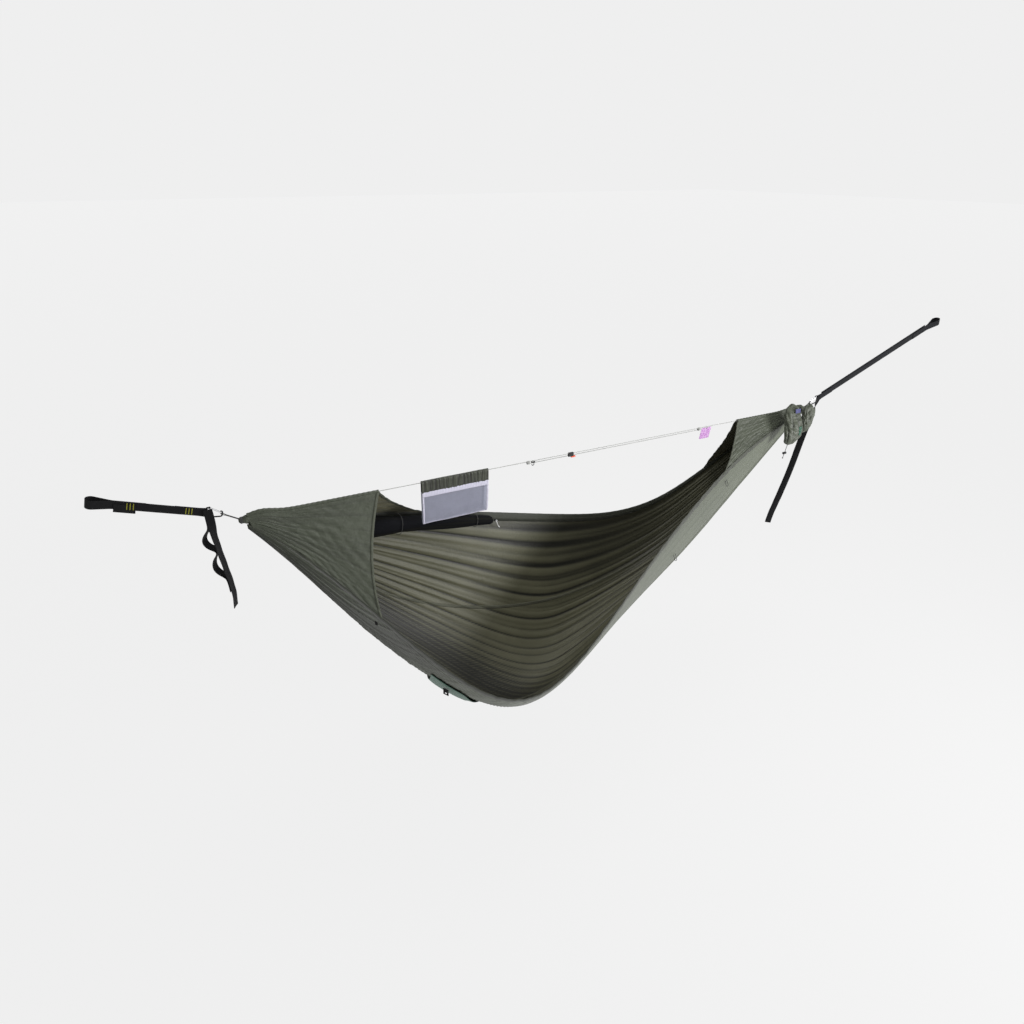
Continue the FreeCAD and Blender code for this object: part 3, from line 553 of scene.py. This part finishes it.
# ---------------------------------------------------------------- hoods
def hood(name, poles, t_gather, t_corner, x_gather, x_front, side, bow, bulge, cut, seed,
         replaced):
    """One slope of a hood, from the ridgeline to a rim, with its front edge's folded hem: w runs from the
    ridgeline to the rim, and s from the gather to the front edge."""
    heading = math.copysign(1.0, x_front - x_gather)
    faces = [hood_cloth, hood_lining] if side * heading < 0 else [hood_lining, hood_cloth]

    def base(w, s):
        rim = spline_at(poles, t_gather + (t_corner - t_gather) * s) + np.array([0, side * 0.0036, -0.0045])
        x = x_gather + (x_front - x_gather) * s
        ridge = np.stack([x, side * 0.006 + 0 * s, -0.0015 * (1 - s)], -1) + GATHER
        ridge[..., 2] += bulge * np.exp(-((s * abs(x_front - x_gather) - 0.05) / 0.06) ** 2)
        point = ridge + (rim - ridge) * w[..., None]
        full = 4 * w * (1 - w) * s
        return point + np.stack([-bow * full, side * 0.006 * full, -0.010 * full], -1)

    def cloth(w, s):
        free = smoothstep(0, 0.05, w) * smoothstep(1, 0.95, w)
        pulls = folds(w, s, 15, seed) - 0.6
        pull_depth = 0.0045 * np.exp(-2.2 * s) * smoothstep(0, 0.12, s) + 0.0012
        small = crumple(w * cut[0], s * cut[1], 0.034, seed + 1)
        large = np.sin(w * 7 + seed) * np.sin(s * 9 + 2 * seed)
        small = small * 0.0023 * smoothstep(0.05, 0.3, s)
        lift = free * (pulls * pull_depth + small + large * 0.003 * s)
        # crease: painted shade down in the tension folds from the gather
        crease = smoothstep(0.25, -0.1, pulls + 0.35) * np.clip(pull_depth / 0.004, 0, 1) * free
        return lift, crease

    def lifted(w, s, lift):
        outside = across_surface(base, w, np.clip(s, 0.01, 0.999)) * side * heading
        return base(w, s) + outside * np.asarray(lift)[..., None]

    def shape(across, along):
        lift, crease = cloth(across, along)
        return lifted(across, along, lift), crease

    def front(across, along):
        turn = math.pi * across
        s = 1.0 + 0.002 - 0.024 * (1 - np.abs(np.sin(turn)) ** 0.7)
        w = 0.004 + 0.992 * along
        lift, _ = cloth(w, np.minimum(s, 1.0))
        return lifted(w, s, lift + np.cos(turn) * 0.0021), 0.0 * w

    slope = skin(name, 90, 150, shape, cut, "hammock", faces, 0.0008)
    hem = skin(name + "_hem", 10, 160, front, (0.026, cut[0]), "hammock", [hood_hem], 0.0006)
    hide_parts(replaced)


def t_where(poles, x):
    """Share at which a rim is a given distance from the head gather."""
    shares = np.linspace(0, 1, 4000)
    return float(np.interp(x + GATHER[0], spline_at(poles, shares)[:, 0], shares))


head_near = t_where(near_poles, 0.400)
head_far = t_where(far_poles, 0.745)
foot_near = t_where(near_poles, 2.130)
foot_far = t_where(far_poles, 2.385)
hood("head_slope_near", near_poles, 0.012, head_near, 0.020, 0.500, -1, 0.032, 0.016,
     (0.46, 0.50), 21, "head_hood_near")
hood("head_slope_far", far_poles, 0.012, head_far, 0.020, 0.500, 1, 0.024, 0.016,
     (0.375, 0.50), 33, "head_hood_far")
hood("foot_slope_near", near_poles, 0.985, foot_near, 2.710, 2.300, -1, -0.008, 0.010,
     (0.29, 0.42), 47, "foot_hood_near")
hood("foot_slope_far", far_poles, 0.985, foot_far, 2.710, 2.300, 1, -0.014, 0.010,
     (0.42, 0.42), 59, "foot_hood_far")


def ridge_cover(name, x_from, x_to, bulge_at, bulge, replaced):
    """Folded cloth over the ridgeline that joins a hood's two slopes."""
    def shape(across, along):
        x = x_from + (x_to - x_from) * along
        turn = math.pi * across
        rise = bulge * np.exp(-((np.abs(x - bulge_at) - 0.05) / 0.06) ** 2)
        radius = 0.0068 + 0.0006 * np.sin(x * 330) * np.sin(turn)
        y = -np.cos(turn) * radius
        z = np.sin(turn) * radius - 0.001 + rise
        return np.stack([x, y, z], -1) + GATHER, 0.0 * x

    size = (0.022, abs(x_to - x_from))
    cover = skin(name, 12, 160, shape, size, "hammock", [hood_cloth], 0.0008)
    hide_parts(replaced)


ridge_cover("head_ridge_cover", 0.020, 0.500, 0.020, 0.016, "head_hood_channel")
ridge_cover("foot_ridge_cover", 2.710, 2.300, 2.710, 0.010, "foot_hood_channel")


# ---------------------------------------------------------------- insect net
net_from = t_where(far_poles, 0.400)
net_to = t_where(far_poles, 1.055)


def net_shape(across, along):
    """The rolled net: a slack bundle with folds along it, tied twice and bunched at its foot end."""
    t = net_from + (net_to - net_from) * along
    radius = 0.050 - 0.025 * along
    centre = spline_at(far_poles, t)
    centre[:, 1] -= 1.34 * radius + 0.006
    centre[:, 2] -= 0.56 * radius + 0.001
    turn = TURN * across
    roll = folds(across * 1.0, along, 7, 12) * np.sin(math.pi * across) ** 0.2
    girth = 1 - 0.15 * (1 - roll) + 0.04 * np.sin(2 * turn + 9 * along)
    pinch = 1.0
    for tie in (0.30, 0.86):
        pinch = pinch - 0.06 * np.exp(-((along - tie) / 0.03) ** 2)
    ends = np.clip(np.minimum(along, 1 - along) / 0.03, 0, 1) ** 0.35
    reach = np.minimum(radius * girth, radius) * pinch * ends
    point = centre.copy()
    point[:, 1] += np.cos(turn) * reach
    point[:, 2] += np.sin(turn) * reach * (1 + 0.08 * np.sin(11 * along))
    # the second value is painted shade down in the roll's folds
    return point, smoothstep(0.5, 0.1, roll)


net = skin("rolled_net", 120, 150, net_shape, (0.30, 0.68), "hammock", [net_cloth],
           closed=True)
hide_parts("bug_net")

# ---------------------------------------------------------------- organizer
organizer_left = 0.671
organizer_width = 0.290


def pocket_track(poles):
    """Shape of a sheet that hangs from the ridgeline, from its profile's poles of depth and height."""
    def shape(across, along):
        profile = spline_at(poles, along)
        x = organizer_left + organizer_width * across
        return np.stack([x, profile[..., 0], profile[..., 1]], -1) + GATHER
    return shape


sleeve_track = pocket_track([(-0.0080, -0.047), (-0.0068, -0.03), (-0.0052, -0.012),
                             (-0.0056, 0.004), (0, 0.0074), (0.0056, 0.004), (0.0050, -0.012),
                             (0.0050, -0.03), (0.0050, -0.048)])
mesh_track = pocket_track([(-0.0070, -0.042), (-0.0095, -0.07), (-0.0105, -0.12), (-0.0105, -0.17),
                           (-0.004, -0.198), (0.0046, -0.193), (0.0046, -0.15), (0.0046, -0.10),
                           (0.0046, -0.046)])


def sleeve_shape(across, along):
    point = sleeve_track(across, along)
    pleat = folds(across, along * 0.6, 19, 71)
    slack = np.sin(math.pi * along) ** 0.3
    point[:, 1] -= (0.0062 * pleat - 0.001) * smoothstep(0.52, 0.34, along) * slack
    point[:, 2] += 0.0016 * pleat * smoothstep(0.3, 0.5, along) * smoothstep(0.7, 0.5, along)
    point[:, 1] += 0.0014 * pleat * smoothstep(0.6, 0.75, along)
    # the second value is painted shade down in the pleats
    return point, smoothstep(0.6, 0.15, pleat)


def mesh_wave(across, along):
    """Slack of the pocket's net, largest down its front."""
    fall = smoothstep(0.0, 0.2, along) * smoothstep(0.62, 0.45, along)
    return 0.0022 * (np.sin(17 * across + 3 * along) + np.sin(9 * across - 6 * along)) * fall


def mesh_shape(across, along):
    point = mesh_track(across, along)
    point[:, 1] -= mesh_wave(across, along) * 0.5
    return point, 0.0 * across


def front_shape(across, along):
    return mesh_shape(across, along * 0.52)


def back_shape(across, along):
    return mesh_shape(across, 0.52 + along * 0.48)


def pocket_strip(name, a_from, a_to, b_from, b_to, width, columns, rows):
    """Narrow hem sewn on the pocket's net."""
    def shape(across, along):
        a = a_from + (a_to - a_from) * across
        b = b_from + (b_to - b_from) * along
        point = mesh_shape(a, b)[0]
        outward = np.where(b < 0.55, -1.0, 1.0)
        point[:, 1] += outward * 0.0012 + 0.0004 * np.sin(150 * a + 60 * b)
        return point, 0.0 * a

    return skin(name, columns, rows, shape, (width, 0.3), "organizer", [pocket_hem], 0.0011)


sleeve = skin("sleeve_cloth", 190, 60, sleeve_shape, (0.42, 0.11), "organizer",
              [sleeve_nylon], 0.0007)
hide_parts("organizer_sleeve")
pocket = skin("pocket_net", 97, 54, front_shape, (0.290, 0.16), "organizer", [pocket_mesh])
knit = pocket.modifiers.new("knit", "WIREFRAME")
knit.thickness = 0.0011
knit.use_even_offset = False
backing = skin("pocket_back", 60, 50, back_shape, (0.290, 0.15), "organizer",
               [pocket_cloth], 0.0005)
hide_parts("organizer_mesh")
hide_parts("organizer_back")
hems = [pocket_strip("pocket_top_hem", 0.0, 1.0, 0.0, 0.045, 0.29, 90, 6),
        pocket_strip("pocket_left_hem", 0.0, 0.024, 0.0, 1.0, 0.007, 3, 120),
        pocket_strip("pocket_right_hem", 0.976, 1.0, 0.0, 1.0, 0.007, 3, 120),
        pocket_strip("pocket_base_hem", 0.0, 1.0, 0.47, 0.52, 0.29, 90, 4)]


# ---------------------------------------------------------------- whipped ends and knots
def coil(name, start, axis_radius, wire, turns, pitch, body, material):
    """Cord wound in neighbouring turns round a line along X."""
    bm = bmesh.new()
    ring = bmesh.ops.create_circle(bm, segments=10, radius=wire)
    bmesh.ops.rotate(bm, verts=ring["verts"], matrix=Matrix.Rotation(math.pi / 2, 3, "X"))
    bmesh.ops.translate(bm, verts=ring["verts"], vec=start + Vector((0, 0, axis_radius)))
    steps = turns * 28
    bmesh.ops.spin(bm, geom=bm.verts[:] + bm.edges[:], cent=start, axis=(1, 0, 0), angle=turns * TURN,
                   dvec=(pitch / 28, 0, 0), steps=steps)
    bmesh.ops.holes_fill(bm, edges=[e for e in bm.edges if e.is_boundary], sides=12)
    bmesh.ops.recalc_face_normals(bm, faces=bm.faces)
    return finished(name, bm, body, [material])


def whipped_end(name, x, toward, replaced):
    """Cloth drawn together past the whipping, in tight folds."""
    def shape(across, along):
        reach = x + toward * (0.030 - 0.041 * along)
        turn = TURN * across
        girth = np.interp(along, [0, 0.35, 0.62, 0.80, 1.0], [0.0125, 0.0150, 0.0108, 0.0112, 0.0062])
        ruffle = np.abs(np.sin(9 * turn + 2 * along)) * 0.16 + np.abs(np.sin(4 * turn + 1)) * 0.08
        ends = np.clip((1 - along) / 0.05, 0, 1) ** 0.5
        radius = girth * (0.88 + ruffle) * ends
        spot = np.stack([reach, np.cos(turn) * radius, np.sin(turn) * radius - 0.008], -1) + GATHER
        # the second value is painted shade down between the ruffles
        return spot, smoothstep(0.12, 0.0, ruffle)

    end = skin(name, 108, 40, shape, (0.09, 0.05), "hammock", [hood_cloth], closed=True)
    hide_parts(replaced)
    return end


whipped_end("head_bundle", 0.0, 1, "head_gather")
whipped_end("foot_bundle", 2.740, -1, "foot_gather")
for part, start in (("head", -0.0045), ("foot", 2.734)):
    coil(part + "_whipping", placed(start, 0, -0.008), 0.0118, 0.0011, 5, 0.0021, "hammock",
         dark_cord)
for part, start in (("head", 1.141), ("foot", 2.058)):
    knot = coil("cord_knot_" + part, placed(start + 0.0005, 0, -0.0045), 0.0060, 0.0015, 4, 0.0029,
                "hammock", grey_cord)
    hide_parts("ridge_knot_" + part)


# ---------------------------------------------------------------- stuff sack
def bag_surface(levels, seed, height):
    """Surface of a slack bag through oval levels, crumpled, each given as its centre and half-widths."""
    def shape(across, along):
        x, y, z, half_x, half_y = spline_at(levels, along).T
        turn = TURN * across
        wrap = np.minimum(across, 1 - across)
        crease = folds(wrap * 2, along, 5, seed)
        small = crumple(np.cos(turn) * 0.06, along * height + np.sin(turn) * 0.02, 0.028,
                        seed + 3)
        ends = np.clip(np.minimum(along, 1 - along) / 0.07, 0, 1) ** 0.5
        puff = (0.80 + 0.24 * crease) * ends
        point = np.stack([x + np.cos(turn) * half_x * puff, y + np.sin(turn) * half_y * puff,
                          z + 0.004 * small], -1)
        point[:, 0] += 0.003 * small * np.cos(turn)
        point[:, 1] += 0.004 * small * np.sin(turn)
        # the second value is painted shade down in the bag's folds
        return point + GATHER, smoothstep(0.5, 0.1, crease)
    return shape


def bag(name, surface, size, replaced):
    """Slack bag made whole from its surface."""
    piece = skin(name, 120, 100, surface, size, "hammock", [hood_cloth], closed=True)
    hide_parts(replaced)
    return piece


sack_front = bag_surface([(2.569, -0.060, 0.068, 0.020, 0.008), (2.569, -0.066, 0.052, 0.044, 0.016),
                          (2.573, -0.076, 0.018, 0.057, 0.026), (2.576, -0.094, -0.018, 0.055, 0.030),
                          (2.575, -0.112, -0.055, 0.059, 0.029), (2.569, -0.119, -0.092, 0.048, 0.026),
                          (2.565, -0.114, -0.120, 0.028, 0.016), (2.565, -0.112, -0.128, 0.010, 0.008)],
                         81, 0.22)
sack_back = bag_surface([(2.702, -0.056, 0.046, 0.020, 0.008), (2.702, -0.060, 0.030, 0.036, 0.015),
                         (2.701, -0.068, 0.000, 0.038, 0.021), (2.697, -0.078, -0.038, 0.039, 0.022),
                         (2.694, -0.082, -0.072, 0.032, 0.018), (2.690, -0.078, -0.098, 0.014, 0.010)],
                        93, 0.15)
bag("sack_cloth", sack_front, (0.26, 0.22), "sack_body")
bag("sack_fold", sack_back, (0.16, 0.15), "sack_lobe")


def patch_shape(across, along):
    """Green patch sewn on the front of the sack, a little proud of it."""
    a = 0.765 + 0.075 * across
    b = 0.46 + 0.20 * along
    point, crease = sack_front(a, b)
    point[:, 1] -= 0.0012 + 0.0006 * np.sin(math.pi * across)
    # the sack's painted crease shade, at half strength
    return point, crease * 0.5


skin("sack_patch", 12, 24, patch_shape, (0.028, 0.040), "hammock", [green_cloth], 0.0006)


def collar_shape(across, along):
    """Scrunched cloth ring that holds the sack on the gather."""
    turn = TURN * across
    around = TURN * along
    bunch = np.abs(np.sin(5.5 * around)) * 0.003 + np.abs(np.sin(8 * around + 1)) * 0.0015
    thick = 0.0062 + bunch
    radius = 0.0185 + np.cos(turn) * thick * 0.8
    x = 2.722 + np.sin(turn) * thick * 1.5
    point = np.stack([x, np.cos(around) * radius, np.sin(around) * radius - 0.008], -1)
    # the second value is painted shade down between the bunches
    return point + GATHER, smoothstep(0.002, 0.0, bunch)


collar = skin("collar_cloth", 24, 110, collar_shape, (0.04, 0.12), "hammock",
              [hood_cloth], closed=True)
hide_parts("sack_collar")


# ---------------------------------------------------------------- webbing tails
def falling(points, level):
    """Values along a hanging piece at each level; points start with the level."""
    curve = spline_at(points, np.linspace(0, 1, 400))
    return np.stack([np.interp(-level, -curve[:, 0], curve[:, i]) for i in range(1, curve.shape[1])], -1)


def tail(name, bar, track, bows, width, gap, replaced):
    """Hanging webbing whose flat side turns as it falls; bows are how far it stands off the main strand."""
    track = [(z, x, y, turn) for x, y, z, turn in track]
    ends = track if bows is None else bows
    top, bottom = ends[0][0], ends[-1][0]

    def shape(across, along):
        level = top + (bottom - top) * along
        x, y, turn = falling(track, level).T
        heading = np.radians(turn)
        side = np.stack([np.cos(heading), np.sin(heading), 0 * heading], -1)
        away = np.stack([np.sin(heading), -np.cos(heading), 0 * heading], -1)
        stand = 0 * level if bows is None else falling(bows, level)[:, 0] + gap
        point = np.stack([x, y, level], -1) + side * ((across - 0.5) * width)[:, None]
        point = point - away * stand[:, None]
        point = point + away * (0.5 * np.cos(TURN * across) + 0.6 * np.sin(level * 0.08))[:, None]
        return point / 1000 + np.array(bar) + GATHER, 0.0 * level

    drop = (top - bottom) / 1000
    size = (width / 1000, drop)
    piece = skin(name, 10, 150, shape, size, "suspension", [black_webbing], 0.0018)
    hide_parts(replaced)


head_track = [(8, -8, 14, 0), (8, -8, -12, 0), (7, -10, -38, 12), (6, -12, -75, 50), (6, -12, -115, 60),
              (8, -10, -170, 60), (10, -8, -230, 60), (13, -6, -290, 60), (15, -5, -345, 62),
              (12, -4, -385, 62),
              (6, -4, -430, 62)]
head_bows = [(-40, 0), (-54, 1), (-66, 8), (-85, 26), (-108, 40), (-130, 42), (-146, 28),
             (-153, 6), (-160, 0),
             (-172, 4), (-196, 24), (-222, 36), (-248, 37), (-268, 24), (-279, 4), (-290, 0),
             (-325, 0), (-350, 1)]
foot_track = [(-4, -8, 12, 0), (-6, -8, -14, 0), (-8, -12, -44, 40), (-10, -11, -80, 85),
              (-12, -9, -120, 112),
              (-14, -6, -170, 120), (-8, -4, -290, 120), (-2, -2, -415, 122), (-9, -1, -550, 130),
              (-18, 0, -670, 140), (-22, 1, -725, 140), (-14, 3, -770, 140)]
foot_bows = [(-60, 0), (-110, 1), (-150, 8), (-190, 1), (-230, 0), (-262, 6), (-292, 18),
             (-322, 7), (-352, 0),
             (-400, 5), (-440, 0), (-500, 6), (-545, 0), (-600, 2)]
head_bar = (-0.104, 0, 0.050)
foot_bar = (2.830, 0, 0.037)
tail("head_tail_main", head_bar, head_track, None, 30.0, 0.0, "head_tail")
tail("head_tail_daisy", head_bar, head_track, head_bows, 28.8, 4.4, "head_tail_loops")
tail("foot_tail_main", foot_bar, foot_track, None, 30.0, 0.0, "foot_tail")
tail("foot_tail_daisy", foot_bar, foot_track, foot_bows, 28.8, 4.4, "foot_tail_loops")

# ---------------------------------------------------------------- drawcord
mouth = placed(2.565, -0.112, -0.1253)


def cord_line(name, points, radius, body, material):
    """A cord on one smooth line through the pull of its points."""
    data = bpy.data.curves.new(name, "CURVE")
    data.dimensions = "3D"
    data.bevel_depth = radius
    data.bevel_resolution = 4
    data.use_fill_caps = True
    line = data.splines.new("NURBS")
    line.points.add(len(points) - 1)
    for spot, point in zip(line.points, points):
        spot.co = (*point, 1.0)
    line.order_u = 3
    line.use_endpoint_u = True
    line.resolution_u = 10
    data.materials.append(material)
    piece = bpy.data.objects.new(name, data)
    bpy.context.scene.collection.objects.link(piece)
    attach(piece, body)
    return piece


draw_points = [mouth - Vector((0, 0, drop)) for drop in (0.0, 0.012, 0.026, 0.040, 0.056, 0.068, 0.077)]
drawcord = cord_line("drawcord", draw_points, 0.00125, "hammock", dark_cord)
end_knot = coil("drawcord_knot", mouth - Vector((0.002, 0, 0.0765)), 0.0016, 0.0012, 2, 0.0020,
                "hammock", dark_cord)
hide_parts("sack_drawcord")

# ---------------------------------------------------------------- pieces that keep their shape
finishes = {
    "head_strap": head_webbing, "head_strap_daisy": head_webbing, "head_strap_tacks": tack_thread,
    "foot_strap": foot_webbing, "foot_strap_daisy": foot_webbing, "foot_strap_tacks": foot_webbing,
    "head_end_loop": dark_cord, "foot_end_loop": dark_cord, "head_carabiner": anodised,
    "foot_carabiner": anodised,
    "head_gate": steel_wire, "foot_gate": steel_wire, "ridgeline_head": grey_cord,
    "ridgeline_foot": grey_cord,
    "ridge_hook": black_plastic, "tensioner_body": black_plastic, "tensioner_lever": orange_plastic,
    "tag_loop": grey_cord, "tag": tag_print, "organizer_tunnel": sleeve_nylon, "net_tie_head": dark_cord,
    "net_tie_foot": dark_cord, "net_slider": black_plastic, "net_pull": white_pull,
    "tie_loop_near": dark_cord,
    "tie_loop_foot": dark_cord, "tie_tab_head": black_webbing, "tie_tab_low": black_webbing,
    "sack_label": label_cloth, "lock_barrel": black_plastic, "lock_button": white_pull,
}
for node, material in finishes.items():
    nodes[node].data.materials.clear()
    nodes[node].data.materials.append(material)

# ---------------------------------------------------------------- floor and light
floor_bm = bmesh.new()
bmesh.ops.create_grid(floor_bm, x_segments=1, y_segments=1, size=60.0)
floor_mesh = bpy.data.meshes.new("floor")
floor_bm.to_mesh(floor_mesh)
floor_bm.free()
floor_mesh.transform(Matrix.Translation((0, 0, cad_box[0][2] - 0.5)))
floor = bpy.data.objects.new("floor", floor_mesh)
bpy.context.scene.collection.objects.link(floor)
floor_paint, _, floor_shader = blank("floor_paint", 0.9)
floor_shader.inputs["Base Color"].default_value = dye(48, 48, 48)
floor_shader.inputs["Emission Color"].default_value = (1, 1, 1, 1)
floor_shader.inputs["Emission Strength"].default_value = 0.83
floor_mesh.materials.append(floor_paint)

world = bpy.data.worlds.new("studio")
world.use_nodes = True
sky = world.node_tree.nodes["Background"]
sky.inputs["Color"].default_value = dye(239, 239, 239)
seen = add(world.node_tree, "LightPath").outputs["Is Camera Ray"]
strength = add(world.node_tree, "MapRange", {0: seen, 3: 0.50, 4: 1.0}).outputs[0]
world.node_tree.links.new(strength, sky.inputs["Strength"])
bpy.context.scene.world = world
bpy.context.scene.view_settings.view_transform = "Standard"


def soft_light(name, place, aim, size, power):
    data = bpy.data.lights.new(name, "AREA")
    data.shape = "DISK"
    data.size = size
    data.energy = power
    lamp = bpy.data.objects.new(name, data)
    lamp.location = placed(*place)
    lamp.rotation_euler = (placed(*aim) - placed(*place)).to_track_quat("-Z", "Y").to_euler()
    bpy.context.scene.collection.objects.link(lamp)


soft_light("window", (3.9, -3.0, 0.3), (2.1, 0, -0.3), 1.6, 130)
soft_light("top", (1.6, 0.5, 2.7), (1.6, 0, -0.5), 1.5, 38)
soft_light("fill", (1.5, -1.5, 2.2), (2.4, 0, -0.2), 1.6, 17)
